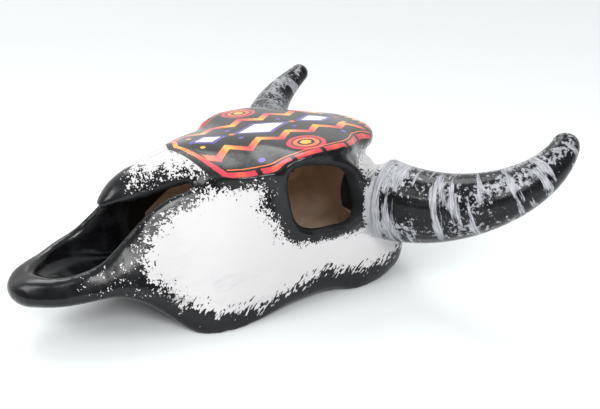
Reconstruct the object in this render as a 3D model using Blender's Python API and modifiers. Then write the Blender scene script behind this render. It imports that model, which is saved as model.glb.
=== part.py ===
# Hollow ceramic longhorn skull that lies on its closed base, with two separately cast horns.
#
# Every size in the tables is in millimetres and becomes metres where a mesh is made. A station is
# the distance from the snout tip towards the poll. X is the side, with the skull's own left at
# +X, -Y is where the snout points and Z is up from the floor. The origin is the middle of the
# whole outline, on the floor.

import math

import bmesh
import bpy
from mathutils import Matrix, Vector

MM = 0.001
GAP = 0.3                # between a horn and its boss
SNOUT_Y = -232.6         # where station 0 lies

# Shell walls. A rise is a step in height, and the numbers in the tables are station, size.
WALL = 8.0
HOLLOW_START = 126.0     # station where the trough's floor ends
HOLLOW_END = 389.0       # inner face of the back of the head
HOLLOW_ROUND = 10.0      # rounding of its front end
BODY_END = 397.0
SNOUT_ROUND = 13.0
BACK_ROUND = 26.0
BASE_THICK = 9.0         # floor of the hollow, which closes the skull below
BASE_FILLET = 7.0        # where that floor turns up into the side wall
BASE_HOLE = (215.0, 22.0)     # station and radius of the hole in that floor
BASE_HOLE_SPAN = (-20.0, 40.0)
HOLLOW_RISE = ((126, 18), (322, 18), (342, -4), (376, -6), (389, -15), (397, -15))    # its top over the edge

# Lower edge of the side wall: half width and height over the floor
FOOT_X = ((0, 21), (13, 29), (35, 43), (57, 53), (81, 60), (98, 66), (113, 71.5), (128, 79), (141, 88),
          (154, 96), (172, 99.5), (200, 99.5), (270, 96.5), (320, 99.5), (350, 97), (397, 88))
FOOT_Z = ((0, 45), (13, 44), (35, 42), (57, 44), (81, 46), (98, 40), (113, 29), (128, 14), (141, 3),
          (152, -1), (180, -1), (205, 3), (235, 8), (275, 10), (300, 6), (313, -1), (335, -1), (360, 5),
          (397, 20))
KEEL_DROP = ((0, 9), (98, 9), (135, 2), (397, 2))    # how far the underside hangs below that edge
KEEL_X = 0.62            # side distance of the flat underside against that edge

# Middle of the side wall, and the top of it under the brow or along the trough's lip
CHEEK_X = ((0, 22), (13, 29), (35, 44), (57, 54), (81, 59), (98, 62), (113, 64.5), (128, 68), (141, 73),
           (165, 84), (190, 90), (220, 93), (260, 95), (290, 97), (320, 99), (350, 98), (397, 88))
EDGE_X = ((0, 19), (13, 25), (35, 39), (57, 50), (81, 51), (104, 48), (125, 48), (145, 50), (165, 55),
          (190, 67), (216, 79), (245, 88), (275, 93), (295, 93), (315, 86), (340, 67), (360, 55), (375, 48),
          (397, 40))
EDGE_Z = ((0, 51), (13, 54), (24, 56), (35, 56), (57, 61), (76, 68), (90, 79), (104, 91), (125, 108),
          (144, 116), (165, 122), (186, 127), (216, 128), (245, 134), (265, 146), (295, 146), (315, 140),
          (340, 130), (360, 118), (375, 110), (397, 90))
LIP_RISE = 6.0           # crest of the trough's lip over that edge
LIP_WIDTH = 6.5          # and how far in from it

# Trough and nasal opening, seen from above, and its floor
TROUGH_START = 24.0
TROUGH_END = 179.0
TROUGH_X = ((24, 13), (32, 21), (42, 27), (57, 35), (76, 38), (96, 36), (125, 36), (150, 38), (166, 42),
            (181, 46))
TROUGH_Z = ((24, 53), (40, 50), (64, 45), (86, 41), (128, 36), (181, 36))
TROUGH_ROUND = 14.0
TROUGH_END_RISE = 6.0    # how far its floor rises at either end
TROUGH_CORNER = (1.5, 9.0)    # height of the floor's side and of the foot of the wall over it

# Brow plate from the tip of the nasal bone to the poll
PLATE_START = 86.5
PLATE_END = 391.0
RIDGE_Z = ((86, 114), (98, 126), (110, 135), (125, 141.5), (141, 146.5), (158, 151), (176, 153.5),
           (259, 156.5), (291, 158.5), (330, 158), (360, 154), (391, 150))
PLATE_X = ((86, 12), (106, 18), (123, 24), (140, 32), (158, 39), (170, 47), (181, 62), (192, 74), (205, 81),
           (225, 87), (238, 91), (250, 97), (270, 99), (290, 99), (306, 96), (318, 88), (334, 72),
           (350, 64), (391, 60))
PLATE_Z = ((86, 110), (106, 116), (123, 119), (140, 125), (158, 130), (176, 135), (205, 136), (232, 138),
           (246, 147), (260, 153), (295, 153), (315, 148), (340, 142), (391, 140))
PLATE_THICK = ((86, 9), (140, 10), (176, 11), (232, 11), (300, 10), (320, 13), (345, 17), (391, 18))
PLATE_FLAT = ((86, 2.0), (165, 2.0), (185, 1.7), (232, 1.9), (262, 5.0), (300, 5.0), (340, 3.4), (391, 3.0))
PLATE_BLUNT = ((86, 2.0), (165, 1.8), (185, 1.2), (232, 1.4), (262, 2.0), (391, 2.2))
PLATE_TIP_ROUND = 15.0
POLL_ROUND_X = 50.0      # rounding of the poll seen from above
POLL_ROUND_Z = 15.0      # and seen from the side
PLATE_UNDER = 0.75       # share of the thickness that hangs below the edge
PLATE_CORE = 0.4         # and how deep its middle lies, towards which the ends shrink
SMALLEST = 0.03          # what is left of a section at a rounded end

# Eye socket
EYE_MIDDLE = (277.5, 108.0)   # station and height
EYE_HALF = (36.0, 32.0)
EYE_POWER = 3.4
EYE_LEAN = 0.16          # the opening's front edge leans forward at the top
EYE_FALL = 0.16          # and its upper edge falls towards the poll
RING_X = 93.0            # side distance of the ring's middle
RING_TWIST = 0.14        # its rear stands farther out than its front
RING_RADIUS = 6.0
RING_REACH = 1.13        # size of the ring's middle line against the opening
EYE_CUT = ((55, 0.9), (84, 0.94), (96, 1.0), (103, 1.08), (125, 1.3))    # side distance, size of the opening

# Horn, along a curve from its base on the temple
HORN_BASE = (105.0, 347.0, 93.5)
HORN_LENGTH = 193.0
HORN_HEADING = (0.23, 0.02, 1.63)     # radians towards the poll: start, linear and square growth
HORN_CLIMB = (0.0, 0.77, -0.08)
HORN_RADIUS = (42.3, 12.5, 1.5)      # base, tip and sag between them
HORN_BASE_FLAT = 0.70                 # front to back size against height at the base
HORN_ROUND_FROM = 0.45                # where along it the section has become round
HORN_TIP = 12.0
HORN_TIP_RINGS = 6
HORN_RINGS = 22
HORN_SIDES = 24
BOSS_DEPTH = 50.0        # how far the neck under it reaches into the head
BOSS_PAST = 10.0         # how far it passes the face, where it is cut flat
BOSS_RINGS = 12
BOSS_FLARE = 14.0        # length of the flare under the face
BOSS_SIZE = 0.97         # against the horn's base, at the face between them
BOSS_NECK = 0.80         # where it leaves the temple
BOSS_ROOT = 0.62         # and at its end inside the head

# Surface of the cast shell: grain of the mesh, rounds of smoothing and share of its faces kept
CAST_GRAIN = 3.0
CAST_SMOOTH = 8
CAST_KEEP = 0.093

# Boxes that cut the resting face and the faces under the horns flat
FLOOR_CUT = (400, 700, 60)
HORN_FACE_CUT = (100, 100, 40)

# How finely the lofts are made
STATION_STEP = 5.0
END_STEPS = 7            # sections over each rounded end
EASE = 3.5               # how far either way a table's bends are eased
HALF_SECTION = 30        # edges in half a section
RING_SIDES = 48
TUBE_SIDES = 12


def smooth_step(t):
    t = min(max(t, 0.0), 1.0)
    return t * t * (3.0 - 2.0 * t)


def along(table, station):
    """The value at a station on a smooth curve through the table's pairs."""
    if station <= table[0][0]:
        return table[0][1]
    if station >= table[-1][0]:
        return table[-1][1]
    last = len(table) - 1
    i = next(k for k in range(last) if station <= table[k + 1][0])

    def grade(k):
        return (table[k + 1][1] - table[k][1]) / (table[k + 1][0] - table[k][0])

    def slope(k):
        if k == 0:
            return 0.0
        if k == last:
            return grade(last - 1)
        before, after = grade(k - 1), grade(k)
        if before * after <= 0.0:
            return 0.0
        return 2.0 * before * after / (before + after)

    (s0, v0), (s1, v1) = table[i], table[i + 1]
    h = s1 - s0
    t = (station - s0) / h
    return (v0 * (1 + 2 * t) * (1 - t) ** 2 + slope(i) * h * t * (1 - t) ** 2
            + v1 * t * t * (3 - 2 * t) + slope(i + 1) * h * t * t * (t - 1))


def size_at(table, station):
    """The table's value with its bends eased over a few millimetres either way."""
    weights = (1, 2, 3, 2, 1)
    return sum(w * along(table, station + EASE * (k - 2)) for k, w in enumerate(weights)) / sum(weights)


def rounded_end(distance, radius):
    """How much of a section is left at this distance from a rounded end."""
    if distance >= radius:
        return 1.0
    return math.sqrt(max(1.0 - (1.0 - distance / radius) ** 2, 0.0))


def stations(first, last, first_round, last_round):
    """Stations from end to end, close together over the two rounded ends."""
    shares = [1.0 - math.cos(math.pi / 2 * (k + 0.35) / END_STEPS) for k in range(END_STEPS)]
    run = last - first - first_round - last_round
    middle = max(2, round(run / STATION_STEP))
    found = [first + first_round * share for share in shares]
    found += [first + first_round + run * k / middle for k in range(middle + 1)]
    found += [last - last_round * share for share in reversed(shares)]
    return found


def curve_through(points, count):
    """A smooth open curve through a section's few points, evenly divided between them."""
    ends = [points[0] * 2 - points[1]] + points + [points[-1] * 2 - points[-2]]
    spans = len(points) - 1
    found = []
    for k in range(count + 1):
        t = spans * k / count
        i = min(int(t), spans - 1)
        t -= i
        a, b, c, d = ends[i:i + 4]
        found.append(0.5 * (2 * b + (c - a) * t + (2 * a - 5 * b + 4 * c - d) * t * t
                            + (3 * b - a - 3 * c + d) * t ** 3))
    return found


def mirrored_ring(half, station, middle_z, keep):
    """A whole section from its +X half, which runs from its lowest to its highest point."""
    other = [Vector((-p.x, p.y)) for p in reversed(half[1:-1])]
    return [Vector((p.x * keep, station + SNOUT_Y, middle_z + (p.y - middle_z) * keep)) for p in half + other]


def loft(name, rings, collection, material=None, closes=False):
    """A closed mesh through rings with the same number of points. It caps the ends, or joins them."""
    mesh = bpy.data.meshes.new(name)
    bm = bmesh.new()
    rows = [[bm.verts.new(p * MM) for p in ring] for ring in rings]
    count = len(rows[0])
    for lower, upper in zip(rows, rows[1:] + (rows[:1] if closes else [])):
        for k in range(count):
            n = (k + 1) % count
            bm.faces.new((lower[k], lower[n], upper[n], upper[k]))
    for row in () if closes else (rows[0], rows[-1]):
        middle = bm.verts.new(sum((v.co for v in row), Vector()) / count)
        for k in range(count):
            bm.faces.new((row[k], row[(k + 1) % count], middle))
    bmesh.ops.recalc_face_normals(bm, faces=bm.faces)
    bm.to_mesh(mesh)
    bm.free()
    made = bpy.data.objects.new(name, mesh)
    collection.objects.link(made)
    if material:
        mesh.materials.append(material)
    else:
        made.hide_render = True
        made.display_type = "WIRE"
    return made


def body_half(station):
    """The +X half of the body's section, from its underside up over the side wall."""
    foot_x = size_at(FOOT_X, station)
    foot_z = size_at(FOOT_Z, station)
    edge_x = size_at(EDGE_X, station)
    edge_z = size_at(EDGE_Z, station)
    low = foot_z - size_at(KEEL_DROP, station)
    top = edge_z + LIP_RISE
    points = [Vector((0, low)), Vector((foot_x * KEEL_X, low + 1.0)), Vector((foot_x, foot_z)),
              Vector((size_at(CHEEK_X, station), 0.5 * (foot_z + edge_z))), Vector((edge_x, edge_z)),
              Vector((edge_x - LIP_WIDTH, top)), Vector((0, top))]
    return curve_through(points, HALF_SECTION)


def body_rings():
    rings = []
    for s in stations(0.0, BODY_END, SNOUT_ROUND, BACK_ROUND):
        keep = rounded_end(s, SNOUT_ROUND) * rounded_end(BODY_END - s, BACK_ROUND) ** 0.5
        middle = 0.5 * (size_at(FOOT_Z, s) + size_at(EDGE_Z, s))
        rings.append(mirrored_ring(body_half(s), s, middle, max(keep, SMALLEST)))
    return rings


def hollow_rings():
    """The inside of the head, a wall's thickness in from the body all round."""
    rings = []
    back = BACK_ROUND - WALL
    for s in stations(HOLLOW_START, HOLLOW_END, HOLLOW_ROUND, back):
        keep = rounded_end(s - HOLLOW_START, HOLLOW_ROUND) ** 0.5 * rounded_end(HOLLOW_END - s, back) ** 0.5
        floor = size_at(FOOT_Z, s) + BASE_THICK
        foot_x = size_at(FOOT_X, s) - WALL
        edge_x = size_at(EDGE_X, s) - WALL
        edge_z = size_at(EDGE_Z, s)
        cheek_x = size_at(CHEEK_X, s) - WALL
        top = edge_z + size_at(HOLLOW_RISE, s)
        points = [Vector((0, floor)), Vector((foot_x * KEEL_X, floor)), Vector((foot_x, floor + BASE_FILLET)),
                  Vector((cheek_x, 0.5 * (floor + edge_z))), Vector((edge_x, edge_z - WALL)),
                  Vector((edge_x - LIP_WIDTH, top)), Vector((0, top))]
        half = [Vector((p.x * keep, p.y)) for p in curve_through(points, HALF_SECTION)]
        rings.append(mirrored_ring(half, s, 0.0, 1.0))
    return rings


def trough_rings():
    rings = []
    for s in stations(TROUGH_START, TROUGH_END, TROUGH_ROUND, TROUGH_ROUND):
        keep = rounded_end(s - TROUGH_START, TROUGH_ROUND) * rounded_end(TROUGH_END - s, TROUGH_ROUND)
        width = size_at(TROUGH_X, s) * max(keep, SMALLEST)
        top = size_at(EDGE_Z, s) + 3 * LIP_RISE
        floor = size_at(TROUGH_Z, s) + (1.0 - keep) * TROUGH_END_RISE
        side, foot = TROUGH_CORNER
        points = [Vector((0, floor)), Vector((width * 0.6, floor + side)),
                  Vector((width * 0.93, floor + foot)), Vector((width, 0.5 * (floor + top))),
                  Vector((width + 2.0 * keep, top)), Vector((0, top))]
        rings.append(mirrored_ring(curve_through(points, HALF_SECTION), s, 0.0, 1.0))
    return rings


def base_hole_rings():
    middle, radius = BASE_HOLE
    turns = [2 * math.pi * k / RING_SIDES for k in range(RING_SIDES)]
    return [[Vector((radius * math.cos(a), middle + SNOUT_Y + radius * math.sin(a), z)) for a in turns]
            for z in BASE_HOLE_SPAN]


def plate_rings():
    rings = []
    steps = HALF_SECTION // 2
    for s in stations(PLATE_START, PLATE_END, PLATE_TIP_ROUND, POLL_ROUND_Z):
        tip = max(rounded_end(s - PLATE_START, PLATE_TIP_ROUND), SMALLEST)
        keep = tip * max(rounded_end(PLATE_END - s, POLL_ROUND_Z), SMALLEST)
        width = size_at(PLATE_X, s) * tip * max(rounded_end(PLATE_END - s, POLL_ROUND_X), SMALLEST)
        thick = size_at(PLATE_THICK, s)
        edge = size_at(PLATE_Z, s)
        rise = size_at(RIDGE_Z, s) - edge
        flat = size_at(PLATE_FLAT, s)
        blunt = size_at(PLATE_BLUNT, s)
        inset = 1.0 - 0.5 * thick / size_at(PLATE_X, s)
        middle = edge + 0.5 * rise - PLATE_CORE * thick
        upper = []
        lower = []
        for k in range(steps + 1):
            side = math.sin(math.pi / 2 * k / steps)
            up = (1.0 - side ** flat) ** (1.0 / blunt)
            upper.append(Vector((width * side, middle + (edge + rise * up - middle) * keep)))
            belly = edge + (rise - (1.0 - PLATE_UNDER) * thick) * up - PLATE_UNDER * thick
            lower.append(Vector((width * inset * side, middle + (belly - middle) * keep)))
        rings.append(mirrored_ring(lower + list(reversed(upper)), s, 0.0, 1.0))
    return rings


def eye_outline(angle, scale):
    """Station and height of a point on the eye opening's edge."""
    c, s = math.cos(angle), math.sin(angle)
    power = 2 / EYE_POWER
    a = math.copysign(abs(c) ** power, c) * EYE_HALF[0] * scale
    b = math.copysign(abs(s) ** power, s) * EYE_HALF[1] * scale
    return EYE_MIDDLE[0] + a - EYE_LEAN * b, EYE_MIDDLE[1] + b - EYE_FALL * a * (0.5 + 0.5 * b / EYE_HALF[1])


def ring_x(station):
    return RING_X + RING_TWIST * (station - EYE_MIDDLE[0])


def eye_ring_rings(side):
    """The raised ring round one eye socket, as rings of a tube that closes on itself."""
    rings = []
    for k in range(RING_SIDES):
        angle = 2 * math.pi * k / RING_SIDES
        s, z = eye_outline(angle, RING_REACH)
        inner_s, inner_z = eye_outline(angle, RING_REACH - 0.1)
        out = Vector((0, s - inner_s, z - inner_z)).normalized()
        middle = Vector((side * ring_x(s), s + SNOUT_Y, z))
        outward = Vector((side, 0, 0))
        ring = []
        for j in range(TUBE_SIDES):
            turn = 2 * math.pi * j / TUBE_SIDES
            ring.append(middle + (out * math.cos(turn) + outward * math.sin(turn)) * RING_RADIUS)
        rings.append(ring)
    return rings


def eye_cut_rings(side):
    rings = []
    for x, scale in EYE_CUT:
        ring = []
        for k in range(RING_SIDES):
            s, z = eye_outline(2 * math.pi * k / RING_SIDES, scale)
            ring.append(Vector((side * (x + RING_TWIST * (s - EYE_MIDDLE[0])), s + SNOUT_Y, z)))
        rings.append(ring)
    return rings


def horn_direction(t):
    heading = HORN_HEADING[0] + HORN_HEADING[1] * t + HORN_HEADING[2] * t * t
    climb = HORN_CLIMB[0] + HORN_CLIMB[1] * t + HORN_CLIMB[2] * t * t
    return Vector((math.cos(climb) * math.cos(heading), math.cos(climb) * math.sin(heading), math.sin(climb)))


def horn_section(centre, direction, radius, flat, side):
    """One oval section of a horn, square to its direction."""
    level = direction.cross(Vector((0, 0, 1))).normalized()
    rise = level.cross(direction)
    ring = []
    for k in range(HORN_SIDES):
        angle = 2 * math.pi * k / HORN_SIDES
        point = centre + level * radius * flat * math.cos(angle) + rise * radius * math.sin(angle)
        ring.append(Vector((side * point.x, point.y + SNOUT_Y, point.z)))
    return ring


def horn_radius(t):
    return HORN_RADIUS[0] * (1 - t) + HORN_RADIUS[1] * t + HORN_RADIUS[2] * t * (1 - t)


def horn_flat(t):
    return HORN_BASE_FLAT + (1.0 - HORN_BASE_FLAT) * smooth_step(t / HORN_ROUND_FROM)


def horn_rings(side):
    direction = horn_direction(0.0)
    centre = Vector(HORN_BASE) + direction * GAP / 2
    rings = []
    for k in range(HORN_RINGS + 1):
        t = k / HORN_RINGS
        rings.append(horn_section(centre, horn_direction(t), horn_radius(t), horn_flat(t), side))
        centre = centre + horn_direction(t + 0.5 / HORN_RINGS) * HORN_LENGTH / HORN_RINGS
    centre = centre - horn_direction(1.0) * HORN_LENGTH / HORN_RINGS
    for k in range(1, HORN_TIP_RINGS + 1):
        angle = math.pi / 2 * k / (HORN_TIP_RINGS + 0.6)
        here = centre + horn_direction(1.0) * HORN_TIP * math.sin(angle)
        rings.append(horn_section(here, horn_direction(1.0), horn_radius(1.0) * math.cos(angle), 1.0, side))
    return rings


def boss_rings(side):
    """The short neck on the temple that a horn stands on, with some to cut flat at its face."""
    direction = horn_direction(0.0)
    rings = []
    for k in range(BOSS_RINGS):
        back = BOSS_DEPTH - (BOSS_DEPTH + BOSS_PAST) * k / (BOSS_RINGS - 1)
        centre = Vector(HORN_BASE) - direction * back
        size = BOSS_SIZE + (BOSS_NECK - BOSS_SIZE) * smooth_step(back / BOSS_FLARE)
        size += (BOSS_ROOT - BOSS_NECK) * smooth_step((back - BOSS_FLARE) / (BOSS_DEPTH - BOSS_FLARE))
        rings.append(horn_section(centre, direction, horn_radius(0) * size, HORN_BASE_FLAT, side))
    return rings


def block(name, size, matrix, collection):
    """A cutter box with its lower face's middle at the matrix's origin."""
    bpy.ops.mesh.primitive_cube_add(size=1)
    made = bpy.context.object
    made.name = name
    for v in made.data.vertices:
        v.co = Vector((v.co.x * size[0], v.co.y * size[1], (v.co.z + 0.5) * size[2])) * MM
    made.matrix_world = matrix
    for old in list(made.users_collection):
        old.objects.unlink(made)
    collection.objects.link(made)
    made.hide_render = True
    made.display_type = "WIRE"
    return made


def material(name, colour, roughness):
    made = bpy.data.materials.new(name)
    made.use_nodes = True
    shader = made.node_tree.nodes["Principled BSDF"]
    shader.inputs["Base Color"].default_value = (*colour, 1)
    shader.inputs["Roughness"].default_value = roughness
    shader.inputs["Metallic"].default_value = 0.0
    return made


def cut(target, tool, operation="DIFFERENCE"):
    """A Boolean step. The exact solver loses the body where its thin walls meet the brow plate."""
    step = target.modifiers.new(tool.name, "BOOLEAN")
    step.solver = "MANIFOLD"
    step.operation = operation
    step.object = tool


def make_shell(parts, cutters):
    glaze = material("glazed_ceramic", (0.80, 0.79, 0.78), 0.25)
    shell = loft("skull_shell", body_rings(), parts, glaze)
    cut(shell, loft("trough_cut", trough_rings(), cutters))
    cut(shell, loft("hollow_cut", hollow_rings(), cutters))
    cut(shell, loft("base_hole_cut", base_hole_rings(), cutters))
    cut(shell, loft("brow_plate", plate_rings(), cutters), "UNION")
    for side, word in ((1, "left"), (-1, "right")):
        cut(shell, loft(f"boss_{word}", boss_rings(side), cutters), "UNION")
        cut(shell, loft(f"eye_ring_{word}", eye_ring_rings(side), cutters, closes=True), "UNION")
        cut(shell, loft(f"eye_cut_{word}", eye_cut_rings(side), cutters))
    cast = shell.modifiers.new("cast", "REMESH")
    cast.mode = "VOXEL"
    cast.voxel_size = CAST_GRAIN * MM
    soft = shell.modifiers.new("soft", "SMOOTH")
    soft.factor = 0.5
    soft.iterations = CAST_SMOOTH
    fewer = shell.modifiers.new("fewer", "DECIMATE")
    fewer.ratio = CAST_KEEP
    halves = shell.modifiers.new("halves", "MIRROR")
    halves.use_bisect_axis[0] = True
    halves.use_bisect_flip_axis[0] = False
    halves.merge_threshold = 0.0001
    below = Matrix.Translation((0, 0, -FLOOR_CUT[2] * MM))
    cut(shell, block("floor_cut", FLOOR_CUT, below, cutters))
    for side, word in ((1, "left"), (-1, "right")):
        direction = horn_direction(0.0)
        face = Vector(HORN_BASE) - direction * GAP / 2
        place = Matrix.Translation(Vector((side * face.x, face.y + SNOUT_Y, face.z)) * MM)
        out = Vector((side * direction.x, direction.y, direction.z))
        turn = out.to_track_quat("Z", "Y").to_matrix().to_4x4()
        cut(shell, block(f"horn_face_{word}", HORN_FACE_CUT, place @ turn, cutters))
    return shell


def make_horns(parts):
    paint = material("horn_paint", (0.05, 0.05, 0.055), 0.35)
    for side, word in ((1, "left"), (-1, "right")):
        horn = loft(f"horn_{word}", horn_rings(side), parts, paint)
        horn.data.shade_smooth()


def main():
    for old in list(bpy.data.objects):
        bpy.data.objects.remove(old)
    parts = bpy.data.collections.new("longhorn_skull")
    cutters = bpy.data.collections.new("cutters")
    for made in (parts, cutters):
        bpy.context.scene.collection.children.link(made)
    make_shell(parts, cutters)
    make_horns(parts)


main()
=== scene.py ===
import math

import bpy
import numpy as np
from mathutils import Matrix, Vector
from mathutils.bvhtree import BVHTree


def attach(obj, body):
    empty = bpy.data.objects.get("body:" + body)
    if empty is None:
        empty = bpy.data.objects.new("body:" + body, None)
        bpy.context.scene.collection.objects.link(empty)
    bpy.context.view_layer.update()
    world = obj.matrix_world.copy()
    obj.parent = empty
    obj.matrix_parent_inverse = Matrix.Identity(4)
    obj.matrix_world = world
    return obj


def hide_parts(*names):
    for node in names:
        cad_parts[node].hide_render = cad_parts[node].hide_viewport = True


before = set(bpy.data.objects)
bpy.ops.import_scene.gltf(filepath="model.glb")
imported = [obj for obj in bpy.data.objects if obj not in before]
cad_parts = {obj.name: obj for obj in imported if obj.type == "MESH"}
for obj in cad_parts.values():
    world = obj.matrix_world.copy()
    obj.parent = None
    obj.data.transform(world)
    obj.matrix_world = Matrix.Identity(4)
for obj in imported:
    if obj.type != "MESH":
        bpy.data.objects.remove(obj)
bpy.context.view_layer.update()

# The skull's casting. The real one is slip-cast earthenware in one piece, with the brow plate, the
# nasal bone and the eye rings raised on it. Here the solid is cast again in a finer skin, so that
# its rims and hollows roll smoothly as clay does.

MM = 0.001
SNOUT_Y = -232.6              # world Y of the snout tip, in millimetres
CASTING_GRAIN = 2.3
CASTING_ROUNDS = 14


def leave_all():
    bpy.ops.object.select_all(action="DESELECT")


def take(piece):
    leave_all()
    piece.select_set(True)
    bpy.context.view_layer.objects.active = piece


def finish_step(piece, kind, **settings):
    """Adds one modifier and applies it."""
    take(piece)
    step = piece.modifiers.new(kind.title(), kind)
    for key, value in settings.items():
        setattr(step, key, value)
    bpy.ops.object.modifier_apply(modifier=step.name)


def cast_again(node, name, grain, rounds):
    """A copy of a CAD node in a finer skin, its facets relaxed without losing its thickness."""
    piece = bpy.data.objects.new(name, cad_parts[node].data.copy())
    piece.data.name = name
    piece.data.materials.clear()
    bpy.context.scene.collection.objects.link(piece)
    take(piece)
    bpy.ops.object.mode_set(mode="EDIT")
    bpy.ops.mesh.select_all(action="SELECT")
    bpy.ops.mesh.remove_doubles(threshold=0.00001)
    bpy.ops.object.mode_set(mode="OBJECT")
    finish_step(piece, "REMESH", mode="VOXEL", voxel_size=grain * MM)
    bpy.ops.object.mode_set(mode="EDIT")
    bpy.ops.mesh.select_all(action="SELECT")
    for _ in range(rounds):
        bpy.ops.mesh.vertices_smooth(factor=0.5, repeat=1)
        bpy.ops.mesh.vertices_smooth(factor=-0.51, repeat=1)
    bpy.ops.object.mode_set(mode="OBJECT")
    bpy.ops.object.shade_smooth()
    return piece


skull = cast_again("skull_shell", "skull_casting", CASTING_GRAIN, CASTING_ROUNDS)

# Where each colour lies on the casting. The painter leaves the inside bare, brushes the outside
# black and sponges white over the cheeks and the nasal bone. Each area is stored on the mesh as a
# distance to its border, in millimetres, and the glaze material tears that border.

BROW_X = ((86, 12), (106, 18), (123, 24), (140, 32), (158, 39), (170, 47), (181, 62), (192, 74), (205, 81),
          (225, 87), (238, 91), (250, 97), (270, 99), (290, 99), (306, 96), (318, 88), (334, 72), (350, 64),
          (391, 60))
BROW_Z = ((86, 110), (106, 116), (123, 119), (140, 125), (158, 130), (176, 135), (205, 136), (232, 138),
          (246, 147), (260, 153), (295, 153), (315, 148), (340, 142), (391, 140))
BROW_FRONT = 161.0            # station where the painted brow panel begins at the middle
BROW_FRONT_SLANT = 0.3        # and how much farther back it begins for each millimetre to the side
CHEEK_PATCH = ((108, 70), (106, 79), (113, 88), (124, 98), (144, 110), (165, 120), (178, 127), (188, 134),
               (208, 133), (215, 130), (217, 118), (216, 108), (221, 94), (233, 77), (246, 68), (268, 64.5),
               (299, 64.5), (322, 66), (335, 78), (336, 104), (325, 114), (330, 140), (398, 140), (385, 42),
               (374, 35), (365, 30), (350, 24.5), (330, 23), (304, 29), (281, 31), (245, 26.5), (222, 21.5),
               (200, 17), (179, 17), (162, 18), (148, 23.5), (138, 32), (127, 39), (117, 49), (111, 57))
BRIDGE_START = 128.0          # white of the nasal bone
BRIDGE_END = 200.0            # and no white on the plate behind this
PLATE_RIM = 7.0               # depth of the brow plate's rolled rim
PLATE_END = 393.0             # station of the poll's rear edge
PANEL_END = 386.0             # where the painted panel ends before it
TROUGH_END = 150.0            # station where the open trough ends
EYE_STATION, EYE_HEIGHT = 292.0, 84.0
EYE_LONG, EYE_TALL = 52.0, 34.0
EYE_SHARPNESS = 1.7           # how much cleaner the white ends round the eye
NECK_HEIGHT = 60.0            # middle of the loose flecks along the neck
CLAY_START, CLAY_LAST = 157.0, 200.0  # stations of the first bare clay, at the passage's foot and top
CLAY_SLANT = 1.4
CLAY_FOOT = 63.0              # height of that foot
SOCKET_FOOT = 68.0            # over this the wall of the eye's socket is glazed
SOCKET_SIDE = 85.0            # from here outward
SOCKET_BACK = 300.0           # and behind this station from SOCKET_DEEP outward
SOCKET_DEEP = 56.0
HORN_ROOT = (105.0, 347.0, 93.5)      # side, station and height, in millimetres
ROOT_HEADING = 0.23           # which way the horn leaves it, in radians from straight out
COLLAR_REACH = 36.0           # how far from the horn's middle line its grey paint goes
COLLAR_WIDTH = 6.5            # and how far that spills onto the casting
SPILL_TOP = 82.0              # under this height the brush ran over
FAR_OUTSIDE = -30.0
DRY_START = 114.0             # station where the glaze in the nasal passage begins to run dry
DRY_FADE = 14.0


def polygon_distance(u, v, corners):
    """Distance to a polygon's border, positive inside it."""
    ends = np.array(corners, float)
    nearest = np.full(len(u), 1e9)
    crossings = np.zeros(len(u), int)
    for (ax, ay), (bx, by) in zip(ends, np.roll(ends, -1, axis=0)):
        dx, dy = bx - ax, by - ay
        t = np.clip(((u - ax) * dx + (v - ay) * dy) / (dx * dx + dy * dy), 0, 1)
        nearest = np.minimum(nearest, np.hypot(u - ax - t * dx, v - ay - t * dy))
        if dy:
            crossings += ((ay > v) != (by > v)) & (u < ax + (v - ay) * dx / dy)
    return np.where(crossings % 2 == 1, nearest, -nearest)


def table_value(table, station):
    return np.interp(station, [row[0] for row in table], [row[1] for row in table])


def points_and_normals(piece):
    count = len(piece.data.vertices)
    points = np.empty(count * 3)
    normals = np.empty(count * 3)
    piece.data.vertices.foreach_get("co", points)
    piece.data.vertex_normals.foreach_get("vector", normals)
    return points.reshape(-1, 3), normals.reshape(-1, 3)


def spread(piece, values, rounds):
    """Softens a value over the mesh."""
    ends = np.empty(len(piece.data.edges) * 2, int)
    piece.data.edges.foreach_get("vertices", ends)
    a, b = ends.reshape(-1, 2).T
    degree = np.bincount(a, minlength=len(values)) + np.bincount(b, minlength=len(values))
    for _ in range(rounds):
        total = np.bincount(a, values[b], len(values)) + np.bincount(b, values[a], len(values))
        values = 0.5 * values + 0.5 * total / degree
    return values


def store(piece, name, values):
    kind = "FLOAT_VECTOR" if np.ndim(values) == 2 else "FLOAT"
    made = piece.data.attributes.new(name, kind, "POINT")
    made.data.foreach_set("vector" if kind == "FLOAT_VECTOR" else "value", np.ravel(values))


def seen_from_within(piece, points, normals):
    """1 where a point can be seen from some place in the hollow, 0 elsewhere."""
    tree = BVHTree.FromPolygons([v.co for v in piece.data.vertices],
                                [p.vertices for p in piece.data.polygons])
    places = [Vector((x, s + SNOUT_Y, z)) * MM for x, s, z in WITHIN]
    places += [Vector((-place.x, place.y, place.z)) for place in places if place.x]
    found = np.zeros(len(points))
    for i, (point, normal) in enumerate(zip(points, normals)):
        start = Vector(point + normal * MM)
        for place in places:
            way = place - start
            if way.dot(Vector(normal)) > 0 and tree.ray_cast(start, way.normalized(), way.length)[0] is None:
                found[i] = 1.0
                break
    return found


# places in the hollow: side, station and height
WITHIN = ((0, 214, 70), (0, 270, 70), (0, 340, 58), (0, 268, 128), (62, 258, 50), (44, 188, 50),
          (40, 340, 60), (45, 230, 126), (45, 300, 126), (68, 278, 104))
points, normals = points_and_normals(skull)
side_x = np.abs(points[:, 0]) / MM
station = points[:, 1] / MM - SNOUT_Y
height = points[:, 2] / MM
hollow = spread(skull, seen_from_within(skull, points, normals), 3)

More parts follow.
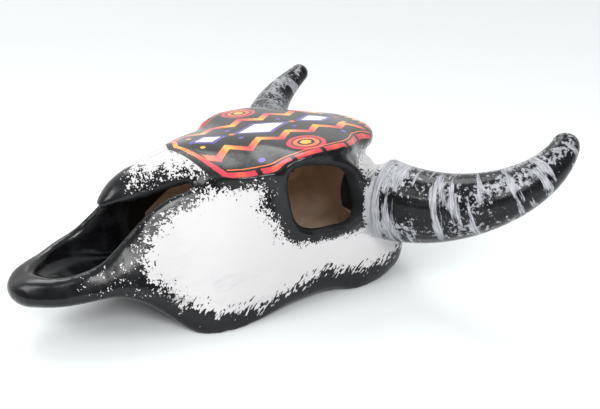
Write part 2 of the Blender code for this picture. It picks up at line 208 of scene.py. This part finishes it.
brow_edge_x = table_value(BROW_X, station)
brow_edge_z = table_value(BROW_Z, station)
on_plate = (side_x < brow_edge_x + 1.5) & (height > brow_edge_z - PLATE_RIM) & (station < PLATE_END)
rolled = np.where(side_x > brow_edge_x - 12.0, np.maximum(0.0, 0.55 - normals[:, 2]) * 14.0, 0.0)
rim = spread(skull, np.where(on_plate, brow_edge_x - side_x - rolled, -8.0), 2)

panel_front = station - BROW_FRONT - BROW_FRONT_SLANT * side_x
panel = np.minimum(panel_front, PANEL_END - station - 8.0 * np.maximum(0.0, 0.6 - normals[:, 2]))
panel = np.where(on_plate, panel, FAR_OUTSIDE)

cheek = polygon_distance(station, height, CHEEK_PATCH)
below_plate = np.where(side_x < brow_edge_x + 2.5, brow_edge_z - 9.0 - height, 20.0)
below_plate = np.where(station < TROUGH_END, 20.0, below_plate)
cheek = np.minimum(cheek, below_plate)
bridge = np.minimum(station + 0.75 * np.minimum(side_x, 18.0) - BRIDGE_START, -panel_front + 6.0)
bridge = np.minimum(bridge, (rim - 7.5) * 0.6)
round_eye = np.exp(-((station - EYE_STATION) / EYE_LONG) ** 4 - ((height - EYE_HEIGHT) / EYE_TALL) ** 4)
cheek = cheek * (1.0 + EYE_SHARPNESS * round_eye)
neck = np.where((side_x > 30.0) & (np.abs(height - NECK_HEIGHT) < 20.0) & (station > 40.0),
                -9.0 - 0.07 * np.abs(station - 96.0), FAR_OUTSIDE)
cheek = np.maximum(cheek, neck)
white = np.where(on_plate & (station < BRIDGE_END), bridge, cheek)
white = np.where((hollow > 0.3) | (normals[:, 2] < -0.75), FAR_OUTSIDE, white)
trough = (side_x < 44.0) & (station < TROUGH_END) & ~on_plate & (height < 125.0)
white = np.where(trough, FAR_OUTSIDE, white)

clay = (hollow - 0.5) * 16.0
clay_from = np.clip(CLAY_START + CLAY_SLANT * (height - CLAY_FOOT), CLAY_START, CLAY_LAST)
clay = np.minimum(clay, station - clay_from)
behind_ring = (station > SOCKET_BACK) & (height > 78.0) & (height < 118.0)
glazed_from = np.where(behind_ring, SOCKET_DEEP, SOCKET_SIDE)
clay = np.minimum(clay, np.where(height > SOCKET_FOOT, glazed_from - side_x, 20.0))

root_way = Vector((math.cos(ROOT_HEADING), math.sin(ROOT_HEADING), 0.0))
off_root = np.stack((side_x, station, height), axis=1) - np.array(HORN_ROOT)
from_root = off_root @ np.array(root_way)
off_line = np.linalg.norm(off_root - from_root[:, None] * np.array(root_way), axis=1)
spilled = np.clip((SPILL_TOP - height) / 12.0, 0.0, 1.0)
collar = np.minimum(from_root + COLLAR_WIDTH + 3.0 * spilled, COLLAR_REACH + 4.0 * spilled - off_line)

store(skull, "white_reach", spread(skull, white, 2))
store(skull, "collar_reach", collar)
store(skull, "clay_reach", clay)
store(skull, "panel_reach", panel)
store(skull, "rim", rim)
store(skull, "rise", height + 0.12 * (230.0 - station))
store(skull, "dry", hollow * np.clip((station - DRY_START) / DRY_FADE, 0.0, 1.0))

# The glaze on the casting: black brushed all over, white sponged and dragged over it with torn
# edges, a panel of painted figures on the brow, and bare brown clay inside. It is glossy over the
# black and duller where the white lies thick.

BLACK_GLAZE = (0.0035, 0.0037, 0.0045, 1)
BLACK_WORN = (0.011, 0.0115, 0.0130, 1)
WHITE_PAINT = (0.645, 0.628, 0.634, 1)
WHITE_SHADE = (0.46, 0.42, 0.435, 1)
PENCIL = (0.12, 0.12, 0.125, 1)
COLLAR_GREY = (0.40, 0.405, 0.42, 1)
COLLAR_DARK = (0.25, 0.255, 0.27, 1)
CLAY = (0.69, 0.54, 0.415, 1)
CLAY_DARK = (0.57, 0.435, 0.325, 1)


def link_or_set(tree, socket, value):
    if isinstance(value, bpy.types.NodeSocket):
        tree.links.new(value, socket)
    else:
        socket.default_value = value


def calc(tree, operation, *values):
    node = tree.nodes.new("ShaderNodeMath")
    node.operation = operation
    for socket, value in zip(node.inputs, values):
        link_or_set(tree, socket, value)
    return node.outputs[0]


def ramp(tree, value, low, high):
    """0 at low, 1 at high, and a soft step between them."""
    node = tree.nodes.new("ShaderNodeMapRange")
    node.interpolation_type = "SMOOTHSTEP"
    for socket, given in zip(node.inputs, (value, low, high, 0.0, 1.0)):
        link_or_set(tree, socket, given)
    return node.outputs[0]


def blend(tree, share, first, second):
    node = tree.nodes.new("ShaderNodeMix")
    node.data_type = "RGBA"
    link_or_set(tree, node.inputs["Factor"], share)
    link_or_set(tree, node.inputs["A"], first)
    link_or_set(tree, node.inputs["B"], second)
    return node.outputs["Result"]


def noise(tree, vector, scale, detail=3.0, rough=0.55):
    node = tree.nodes.new("ShaderNodeTexNoise")
    link_or_set(tree, node.inputs["Vector"], vector)
    node.inputs["Scale"].default_value = scale
    node.inputs["Detail"].default_value = detail
    node.inputs["Roughness"].default_value = rough
    return node.outputs["Fac"]


def turned(tree, vector, turn, stretch):
    """The coordinates turned and then stretched, for strokes that run one way."""
    node = tree.nodes.new("ShaderNodeMapping")
    node.vector_type = "TEXTURE"
    link_or_set(tree, node.inputs["Vector"], vector)
    node.inputs["Rotation"].default_value = turn
    node.inputs["Scale"].default_value = stretch
    return node.outputs[0]


def attribute(tree, name, output="Fac"):
    node = tree.nodes.new("ShaderNodeAttribute")
    node.attribute_name = name
    return node.outputs[output]


def new_group(name, inputs, outputs):
    """A shader node group with named sockets, and its two end nodes."""
    group = bpy.data.node_groups.new(name, "ShaderNodeTree")
    for label, kind, value in inputs:
        socket = group.interface.new_socket(label, in_out="INPUT", socket_type="NodeSocket" + kind)
        if value is not None:
            socket.default_value = value
    for label, kind in outputs:
        group.interface.new_socket(label, in_out="OUTPUT", socket_type="NodeSocket" + kind)
    return group, group.nodes.new("NodeGroupInput"), group.nodes.new("NodeGroupOutput")


def use_group(tree, group, **values):
    node = tree.nodes.new("ShaderNodeGroup")
    node.node_tree = group
    for key, value in values.items():
        link_or_set(tree, node.inputs[key.replace("_", " ")], value)
    return node


def torn_edge():
    """A painted border torn by the sponge: flecks near it, clean paint a reach away from it."""
    group, given, out = new_group(
        "torn_edge",
        (("Distance", "Float", 0.0), ("Place", "Vector", None), ("Reach", "Float", 6.0)),
        (("Mask", "Float"),))
    place = given.outputs["Place"]
    broken = 0.0
    for scale, weight in ((640.0, 4.4), (290.0, 3.6), (95.0, 2.6), (30.0, 1.2)):
        part = calc(group, "SUBTRACT", noise(group, place, scale, 1.0, 0.5), 0.5)
        broken = calc(group, "ADD", broken, calc(group, "MULTIPLY", part, weight))
    level = calc(group, "DIVIDE", given.outputs["Distance"], given.outputs["Reach"])
    level = calc(group, "ADD", level, broken)
    group.links.new(ramp(group, level, -0.10, 0.10), out.inputs["Mask"])
    return group


TORN_EDGE = torn_edge()
RED = (0.60, 0.045, 0.07, 1)
ORANGE = (0.87, 0.19, 0.055, 1)
YELLOW = (0.95, 0.45, 0.06, 1)
PURPLE = (0.145, 0.095, 0.50, 1)
PALE = (0.84, 0.82, 0.82, 1)


def brow_figures():
    """Plain folk figures on the brow: diamonds down the middle, zigzags beside them, a ringed disc
    over each eye, dots between, teeth at the poll, and a broken band along the edge."""
    group, given, out = new_group(
        "brow_figures",
        (("Place", "Vector", None), ("Rim", "Float", 0.0)),
        (("Color", "Color"), ("Mask", "Float")))
    apart = group.nodes.new("ShaderNodeSeparateXYZ")
    group.links.new(given.outputs["Place"], apart.inputs[0])
    wobble = noise(group, given.outputs["Place"], 60.0, 2.0, 0.5)
    shake = calc(group, "MULTIPLY", calc(group, "SUBTRACT", wobble, 0.5), 2.6)
    x = calc(group, "MULTIPLY", calc(group, "ABSOLUTE", apart.outputs["X"]), 1000.0)
    x = calc(group, "ADD", x, shake)
    s = calc(group, "SUBTRACT", calc(group, "MULTIPLY", apart.outputs["Y"], 1000.0), SNOUT_Y)
    s = calc(group, "ADD", s, shake)
    rim_here = calc(group, "ADD", given.outputs["Rim"], shake)
    colour = (0.0, 0.0, 0.0, 1)
    mask = 0.0
    soft = 0.35

    def lay(colour, mask, inside, paint):
        """Paints one figure over the ones before it. Inside is a distance, positive within it."""
        here = ramp(group, inside, -soft, soft)
        return blend(group, here, colour, paint), calc(group, "MAXIMUM", mask, here)

    def size_of(*parts):
        total = parts[0]
        for part in parts[1:]:
            total = calc(group, "ADD", total, part)
        return total

    def off(value, centre):
        return calc(group, "ABSOLUTE", calc(group, "SUBTRACT", value, centre))

    def shaded(value, low, high):
        """Yellow through orange to red, as the painter shades each figure."""
        warm = blend(group, ramp(group, value, low, 0.5 * (low + high)), YELLOW, ORANGE)
        return blend(group, ramp(group, value, 0.5 * (low + high), high), warm, RED)

    # zigzag down each side
    swing = calc(group, "PINGPONG", calc(group, "SUBTRACT", s, 176.0), 17.0)
    line = calc(group, "ADD", calc(group, "MULTIPLY", swing, 0.9), 28.0)
    inside = calc(group, "SUBTRACT", 5.4, off(x, line))
    inside = calc(group, "MINIMUM", inside, calc(group, "SUBTRACT", s, 183.0))
    inside = calc(group, "MINIMUM", inside, calc(group, "SUBTRACT", 363.0, s))
    colour, mask = lay(colour, mask, inside, shaded(swing, 0.0, 17.0))

    # a ringed disc over each eye
    reach = calc(group, "SQRT", size_of(calc(group, "POWER", off(x, 69.0), 2.0),
                                        calc(group, "POWER", off(s, 273.0), 2.0)))
    for radius, thick, paint in ((0.0, 5.5, YELLOW), (10.5, 2.3, ORANGE), (16.8, 2.4, RED)):
        inside = calc(group, "SUBTRACT", thick, off(reach, radius))
        colour, mask = lay(colour, mask, inside, paint)

    # diamonds down the middle, white with a purple outline
    for middle, long, wide in ((203.0, 21.0, 14.0), (264.0, 34.0, 21.0), (329.0, 24.0, 17.0)):
        reach = size_of(calc(group, "DIVIDE", x, wide), calc(group, "DIVIDE", off(s, middle), long))
        edge = calc(group, "MULTIPLY", calc(group, "SUBTRACT", 1.0, reach), 0.5 * (long + wide) * 0.72)
        colour, mask = lay(colour, mask, edge, PURPLE)
        colour, mask = lay(colour, mask, calc(group, "SUBTRACT", edge, 2.4), (0.01, 0.01, 0.012, 1))
        colour, mask = lay(colour, mask, calc(group, "SUBTRACT", edge, 4.0), PALE)

    # dots between the figures
    for dot_x, dot_s, radius, paint in (
            (0.0, 229.0, 3.2, ORANGE), (0.0, 300.0, 3.2, ORANGE), (15.0, 232.0, 2.6, PURPLE),
            (17.0, 293.0, 2.6, PURPLE), (22.0, 352.0, 3.0, YELLOW), (66.0, 226.0, 3.4, PURPLE),
            (55.0, 327.0, 3.4, PURPLE), (0.0, 358.0, 3.4, RED), (17.0, 190.0, 2.8, YELLOW)):
        reach = calc(group, "SQRT", size_of(calc(group, "POWER", off(x, dot_x), 2.0),
                                            calc(group, "POWER", off(s, dot_s), 2.0)))
        colour, mask = lay(colour, mask, calc(group, "SUBTRACT", radius, reach), paint)

    # teeth across the poll and a chevron along the front
    tooth = calc(group, "PINGPONG", calc(group, "ADD", x, 6.0), 6.0)
    inside = calc(group, "SUBTRACT", calc(group, "ADD", calc(group, "MULTIPLY", tooth, 1.5), s), 378.0)
    inside = calc(group, "MINIMUM", inside, calc(group, "SUBTRACT", 383.0, s))
    inside = calc(group, "MINIMUM", inside, calc(group, "SUBTRACT", 50.0, x))
    colour, mask = lay(colour, mask, inside, shaded(x, 10.0, 50.0))
    front = calc(group, "ADD", BROW_FRONT + 8.5, calc(group, "MULTIPLY", x, BROW_FRONT_SLANT))
    inside = calc(group, "SUBTRACT", 2.5, off(s, front))
    inside = calc(group, "MINIMUM", inside, calc(group, "SUBTRACT", rim_here, 3.0))
    colour, mask = lay(colour, mask, inside, shaded(x, -4.0, 44.0))

    # broken red band along the edge, with a thin orange line inside it
    dash = calc(group, "PINGPONG", calc(group, "SUBTRACT", s, 186.0), 15.0)
    inside = calc(group, "SUBTRACT", 3.4, off(rim_here, 6.0))
    inside = calc(group, "MINIMUM", inside, calc(group, "SUBTRACT", dash, 2.2))
    inside = calc(group, "MINIMUM", inside, calc(group, "SUBTRACT", s, 186.0))
    inside = calc(group, "MINIMUM", inside, calc(group, "SUBTRACT", 372.0, s))
    colour, mask = lay(colour, mask, inside, blend(group, ramp(group, dash, 6.0, 24.0), RED, ORANGE))
    inside = calc(group, "SUBTRACT", 0.8, off(rim_here, 12.6))
    inside = calc(group, "MINIMUM", inside, calc(group, "SUBTRACT", s, 192.0))
    inside = calc(group, "MINIMUM", inside, calc(group, "SUBTRACT", 366.0, s))
    colour, mask = lay(colour, mask, inside, ORANGE)
    group.links.new(colour, out.inputs["Color"])
    link_or_set(group, out.inputs["Mask"], mask)
    return group


def casting_glaze():
    made = bpy.data.materials.new("casting_glaze")
    made.use_nodes = True
    tree = made.node_tree
    shader = tree.nodes["Principled BSDF"]
    place = tree.nodes.new("ShaderNodeTexCoord").outputs["Object"]
    strokes = turned(tree, place, (0.8, 0.0, 0.0), (1.4, 3.4, 1.0))
    reach = attribute(tree, "white_reach")
    sponged = use_group(tree, TORN_EDGE, Distance=reach, Place=place, Reach=8.0).outputs["Mask"]
    dragged = use_group(tree, TORN_EDGE, Distance=reach, Place=strokes, Reach=8.0).outputs["Mask"]
    low = ramp(tree, attribute(tree, "rise"), 62.0, 38.0)
    white = blend(tree, low, sponged, dragged)
    clay = ramp(tree, attribute(tree, "clay_reach"), -0.4, 0.4)
    panel = ramp(tree, attribute(tree, "panel_reach"), -0.3, 0.3)
    wiped = noise(tree, turned(tree, place, (0.4, 0.0, 0.2), (3.0, 1.0, 1.0)), 55.0, 4.0)
    worn = ramp(tree, wiped, 0.42, 0.72)
    black = blend(tree, worn, BLACK_GLAZE, BLACK_WORN)
    drag = noise(tree, turned(tree, place, (0.12, 0.0, 0.0), (1.0, 9.0, 1.0)), 110.0, 4.0, 0.6)
    cloud = noise(tree, place, 14.0, 2.0)
    thin = calc(tree, "MULTIPLY", ramp(tree, drag, 0.48, 0.75), ramp(tree, cloud, 0.40, 0.70))
    paint = blend(tree, calc(tree, "MULTIPLY", thin, 0.55), WHITE_PAINT, WHITE_SHADE)
    apart = tree.nodes.new("ShaderNodeSeparateXYZ")
    tree.links.new(place, apart.inputs[0])
    pencil = ramp(tree, calc(tree, "ABSOLUTE", apart.outputs["X"]), 0.0006, 0.0003)
    pencil = calc(tree, "MULTIPLY", pencil, ramp(tree, attribute(tree, "panel_reach"), -28.0, -18.0))
    paint = blend(tree, calc(tree, "MULTIPLY", pencil, 0.8), paint, PENCIL)
    colour = blend(tree, white, black, paint)
    figures = use_group(tree, brow_figures(), Place=place, Rim=attribute(tree, "rim"))
    brow = blend(tree, figures.outputs["Mask"], black, figures.outputs["Color"])
    brow_mask = calc(tree, "MULTIPLY", panel, ramp(tree, attribute(tree, "rim"), -4.5, -3.5))
    colour = blend(tree, brow_mask, colour, brow)
    earth = blend(tree, ramp(tree, noise(tree, place, 40.0, 4.0), 0.35, 0.70), CLAY, CLAY_DARK)
    collar = use_group(tree, TORN_EDGE, Distance=attribute(tree, "collar_reach"), Place=place,
                       Reach=2.6).outputs["Mask"]
    colour = blend(tree, collar, colour, blend(tree, thin, COLLAR_GREY, COLLAR_DARK))
    colour = blend(tree, clay, colour, earth)
    tree.links.new(colour, shader.inputs["Base Color"])
    rough = blend(tree, worn, (0.17, 0.17, 0.17, 1), (0.30, 0.30, 0.30, 1))
    rough = blend(tree, white, rough, (0.42, 0.42, 0.42, 1))
    rough = blend(tree, attribute(tree, "dry"), rough, (0.85, 0.85, 0.85, 1))
    tree.links.new(rough, shader.inputs["Roughness"])
    relief = calc(tree, "ADD", calc(tree, "MULTIPLY", white, 0.35), calc(tree, "MULTIPLY", drag, 0.5))
    relief = calc(tree, "ADD", relief, calc(tree, "MULTIPLY", noise(tree, place, 160.0, 4.0), 0.6))
    relief = calc(tree, "ADD", relief, calc(tree, "MULTIPLY", noise(tree, place, 30.0, 2.0), 1.2))
    bump = tree.nodes.new("ShaderNodeBump")
    bump.inputs["Strength"].default_value = 0.30
    bump.inputs["Distance"].default_value = 0.0006
    tree.links.new(relief, bump.inputs["Height"])
    tree.links.new(bump.outputs[0], shader.inputs["Normal"])
    shader.inputs["Specular IOR Level"].default_value = 0.35
    return made


skull.data.materials.append(casting_glaze())
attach(skull, "root")
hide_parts("skull_shell")

# The two horns, cast apart and set on the temples. Each is glazed black and dry-brushed with light
# grey strokes that run round it, thick at the root where they make a ragged collar.

HORN_LENGTH = 193.0
HORN_HEADING = (ROOT_HEADING, 0.02, 1.63)  # its turn backward in radians: at the root, then by t and t * t
HORN_CLIMB = (0.0, 0.77, -0.08)            # and its rise
HORN_GRAIN = 1.3
HORN_ROUNDS = 10
HORN_STEPS = 96


def horn_direction(t):
    heading = HORN_HEADING[0] + HORN_HEADING[1] * t + HORN_HEADING[2] * t * t
    climb = HORN_CLIMB[0] + HORN_CLIMB[1] * t + HORN_CLIMB[2] * t * t
    return np.array((math.cos(climb) * math.cos(heading), math.cos(climb) * math.sin(heading),
                     math.sin(climb)))


def horn_line():
    """Points and directions along the horn's middle line, for the left horn."""
    here = np.array(HORN_ROOT)
    middles, ways = [], []
    for k in range(HORN_STEPS + 1):
        way = horn_direction(k / HORN_STEPS)
        middles.append(here)
        ways.append(way)
        here = here + way * HORN_LENGTH / HORN_STEPS
    return np.array(middles), np.array(ways)


def store_strokes(piece, side):
    """How far along the horn each point lies, and where round it."""
    middles, ways = horn_line()
    points, _ = points_and_normals(piece)
    local = points / MM
    local[:, 0] *= side
    local[:, 1] -= SNOUT_Y
    nearest = np.argmin(((local[:, None, :] - middles[None, :, :]) ** 2).sum(-1), axis=1)
    way = ways[nearest]
    off = local - middles[nearest]
    ahead = (off * way).sum(1)
    level = np.cross(way, (0.0, 0.0, 1.0))
    level /= np.linalg.norm(level, axis=1)[:, None]
    rise = np.cross(level, way)
    turn = np.arctan2((off * rise).sum(1), (off * level).sum(1))
    along = nearest * HORN_LENGTH / HORN_STEPS + ahead
    store(piece, "strokes", np.stack((np.cos(turn), np.sin(turn), along), axis=1))
    store(piece, "along", along)


GREY_STROKE = (0.45, 0.455, 0.48, 1)
GREY_THIN = (0.19, 0.195, 0.21, 1)


def horn_glaze():
    made = bpy.data.materials.new("horn_glaze")
    made.use_nodes = True
    tree = made.node_tree
    shader = tree.nodes["Principled BSDF"]
    place = tree.nodes.new("ShaderNodeTexCoord").outputs["Object"]
    strokes = attribute(tree, "strokes", "Vector")
    along = attribute(tree, "along")
    around = tree.nodes.new("ShaderNodeSeparateXYZ")
    tree.links.new(strokes, around.inputs[0])
    top = around.outputs["Y"]
    bands = noise(tree, turned(tree, strokes, (0, 0, 0), (1.9, 1.9, 7.5)), 1.0, 1.0, 0.5)
    patch = noise(tree, turned(tree, strokes, (0, 0, 0), (1.1, 1.1, 38.0)), 1.0, 1.0, 0.5)
    hair = noise(tree, turned(tree, strokes, (0, 0, 0), (0.42, 0.42, 1.1)), 1.0, 3.0, 0.6)
    dab = noise(tree, place, 270.0, 3.0, 0.6)
    cover = calc(tree, "MULTIPLY", calc(tree, "SUBTRACT", bands, 0.565), 8.0)
    cover = calc(tree, "ADD", cover, calc(tree, "MULTIPLY", calc(tree, "SUBTRACT", patch, 0.5), 3.0))
    cover = calc(tree, "ADD", cover, calc(tree, "MULTIPLY", ramp(tree, along, 9.0, 3.0), 2.2))
    cover = calc(tree, "ADD", cover, calc(tree, "MULTIPLY", ramp(tree, along, 70.0, 14.0), 0.35))
    cover = calc(tree, "SUBTRACT", cover, calc(tree, "MULTIPLY", ramp(tree, along, 176.0, 196.0), 0.8))
    broken = calc(tree, "MULTIPLY", calc(tree, "SUBTRACT", hair, 0.5), 3.2)
    level = calc(tree, "ADD", cover, broken)
    # sponged dabs along the upper side, thickest at the root, and a short row of them lower down
    upper = calc(tree, "MULTIPLY", ramp(tree, top, 0.25, 0.62), 0.85)
    thick = calc(tree, "MULTIPLY", ramp(tree, along, 80.0, 20.0), 0.45)
    upper = calc(tree, "MULTIPLY", upper, calc(tree, "ADD", thick, 1.0))
    lower = calc(tree, "MULTIPLY", ramp(tree, top, -0.22, -0.42), ramp(tree, top, -0.90, -0.65))
    lower = calc(tree, "MULTIPLY", lower, ramp(tree, along, 120.0, 60.0))
    upper = calc(tree, "MAXIMUM", upper, lower)
    dabs = calc(tree, "ADD", calc(tree, "MULTIPLY", calc(tree, "SUBTRACT", dab, 0.5), 7.0),
                calc(tree, "MULTIPLY", calc(tree, "SUBTRACT", patch, 0.5), 5.0))
    sponge = calc(tree, "SUBTRACT", calc(tree, "ADD", dabs, upper), 1.05)
    level = calc(tree, "MAXIMUM", level, sponge)
    stroke = ramp(tree, level, -0.10, 0.15)
    worn = ramp(tree, hair, 0.45, 0.75)
    black = blend(tree, worn, BLACK_GLAZE, BLACK_WORN)
    grey = blend(tree, ramp(tree, level, 0.0, 0.8), GREY_THIN, GREY_STROKE)
    grey = blend(tree, calc(tree, "MULTIPLY", ramp(tree, hair, 0.60, 0.40), 0.75), grey, GREY_THIN)
    colour = blend(tree, stroke, black, grey)
    tree.links.new(colour, shader.inputs["Base Color"])
    rough = blend(tree, stroke, (0.20, 0.20, 0.20, 1), (0.50, 0.50, 0.50, 1))
    tree.links.new(rough, shader.inputs["Roughness"])
    relief = calc(tree, "ADD", calc(tree, "MULTIPLY", stroke, 0.5), hair)
    bump = tree.nodes.new("ShaderNodeBump")
    bump.inputs["Strength"].default_value = 0.35
    bump.inputs["Distance"].default_value = 0.0006
    tree.links.new(relief, bump.inputs["Height"])
    tree.links.new(bump.outputs[0], shader.inputs["Normal"])
    shader.inputs["Specular IOR Level"].default_value = 0.28
    return made


HORN_GLAZE = horn_glaze()
for side, word in ((1, "left"), (-1, "right")):
    horn = cast_again(f"horn_{word}", f"horn_casting_{word}", HORN_GRAIN, HORN_ROUNDS)
    store_strokes(horn, side)
    horn.data.materials.append(HORN_GLAZE)
    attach(horn, "root")
    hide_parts(f"horn_{word}")

# The table, a plain pale sheet far larger than the skull, under the soft white light of a product
# photograph.

FLOOR_SIDE = 9.0


def floor_paint():
    made = bpy.data.materials.new("pale_floor")
    made.use_nodes = True
    shader = made.node_tree.nodes["Principled BSDF"]
    shader.inputs["Base Color"].default_value = (0.86, 0.885, 0.89, 1)
    shader.inputs["Roughness"].default_value = 0.55
    shader.inputs["Specular IOR Level"].default_value = 0.3
    return made


leave_all()
bpy.ops.mesh.primitive_plane_add(size=FLOOR_SIDE, location=(0, 0, -0.0002))
floor = bpy.context.object
floor.name = "pale_floor"
floor.data.materials.append(floor_paint())

# The light of a product photograph: a white room that is dim behind the camera, a wide window
# beyond the skull that lays its shadow toward the camera, and two soft lamps on the near side.


def area_light(name, place, aim, size, power):
    leave_all()
    bpy.ops.object.light_add(type="AREA", location=place)
    lamp = bpy.context.object
    lamp.name = name
    lamp.data.shape = "RECTANGLE"
    lamp.data.size, lamp.data.size_y = size
    lamp.data.energy = power
    lamp.rotation_euler = (Vector(aim) - Vector(place)).to_track_quat("-Z", "Y").to_euler()


def studio_room():
    """White overhead and beyond the skull, and dim low down on the camera's side."""
    made = bpy.data.worlds.new("studio_room")
    made.use_nodes = True
    tree = made.node_tree
    way = tree.nodes.new("ShaderNodeTexCoord").outputs["Generated"]
    apart = tree.nodes.new("ShaderNodeSeparateXYZ")
    tree.links.new(way, apart.inputs[0])
    facing = tree.nodes.new("ShaderNodeVectorMath")
    facing.operation = "DOT_PRODUCT"
    facing.inputs[1].default_value = ROOM_BACK
    tree.links.new(way, facing.inputs[0])
    low = blend(tree, ramp(tree, facing.outputs["Value"], -0.1, 0.55), ROOM_DARK, ROOM_WALL)
    light = blend(tree, ramp(tree, apart.outputs["Z"], 0.45, 0.85), low, ROOM_CEILING)
    tree.links.new(light, tree.nodes["Background"].inputs["Color"])
    return made


ROOM_BACK = (-0.84, 0.54, 0.0)             # the way the camera looks
ROOM_WALL = (1.0, 1.0, 1.0, 1)
ROOM_DARK = (0.30, 0.30, 0.305, 1)
ROOM_CEILING = (0.74, 0.775, 0.78, 1)
bpy.context.scene.world = studio_room()
leave_all()
bpy.ops.object.light_add(type="SUN", location=(-1.0, 0.2, 1.4))
window = bpy.context.object
window.name = "window_behind"
window.data.energy = 1.2
window.data.angle = math.radians(32)
window.rotation_euler = Vector((0.95, -0.05, -1.15)).to_track_quat("-Z", "Y").to_euler()
area_light("lamp_left", (-0.1, -1.35, 0.95), (0, 0, 0.05), (0.8, 0.6), 9.5)
area_light("lamp_camera", (1.25, -0.35, 1.0), (0.1, 0.05, 0.08), (0.7, 0.5), 14.0)

# The camera, level with the photograph's: in front of the skull's left cheek and a little above.

CAMERA_PLACE = (572.7, -55.4, 332.2)       # side, station and height, in millimetres
CAMERA_TURN = math.radians(57.5)
CAMERA_FALL = math.radians(21.7)
CAMERA_ROLL = math.radians(-0.6)
FOCAL_PIXELS = 655.8
FRAME_PIXELS = 600

back = Vector((math.sin(CAMERA_TURN) * math.cos(CAMERA_FALL), -math.cos(CAMERA_TURN) * math.cos(CAMERA_FALL),
               math.sin(CAMERA_FALL)))
right = Vector((0, 0, 1)).cross(back).normalized()
upward = back.cross(right)
tilted_right = right * math.cos(CAMERA_ROLL) + upward * math.sin(CAMERA_ROLL)
tilted_up = upward * math.cos(CAMERA_ROLL) - right * math.sin(CAMERA_ROLL)
camera_data = bpy.data.cameras.new("camera")
camera_data.sensor_width = 36.0
camera_data.lens = FOCAL_PIXELS * camera_data.sensor_width / FRAME_PIXELS
camera_data.clip_start = 0.01
camera = bpy.data.objects.new("camera", camera_data)
bpy.context.scene.collection.objects.link(camera)
turn = Matrix((tilted_right, tilted_up, back)).transposed().to_4x4()
side, along, up = CAMERA_PLACE
camera.matrix_world = Matrix.Translation(Vector((side, along + SNOUT_Y, up)) * MM) @ turn
bpy.context.scene.camera = camera
bpy.context.scene.view_settings.view_transform = "Standard"
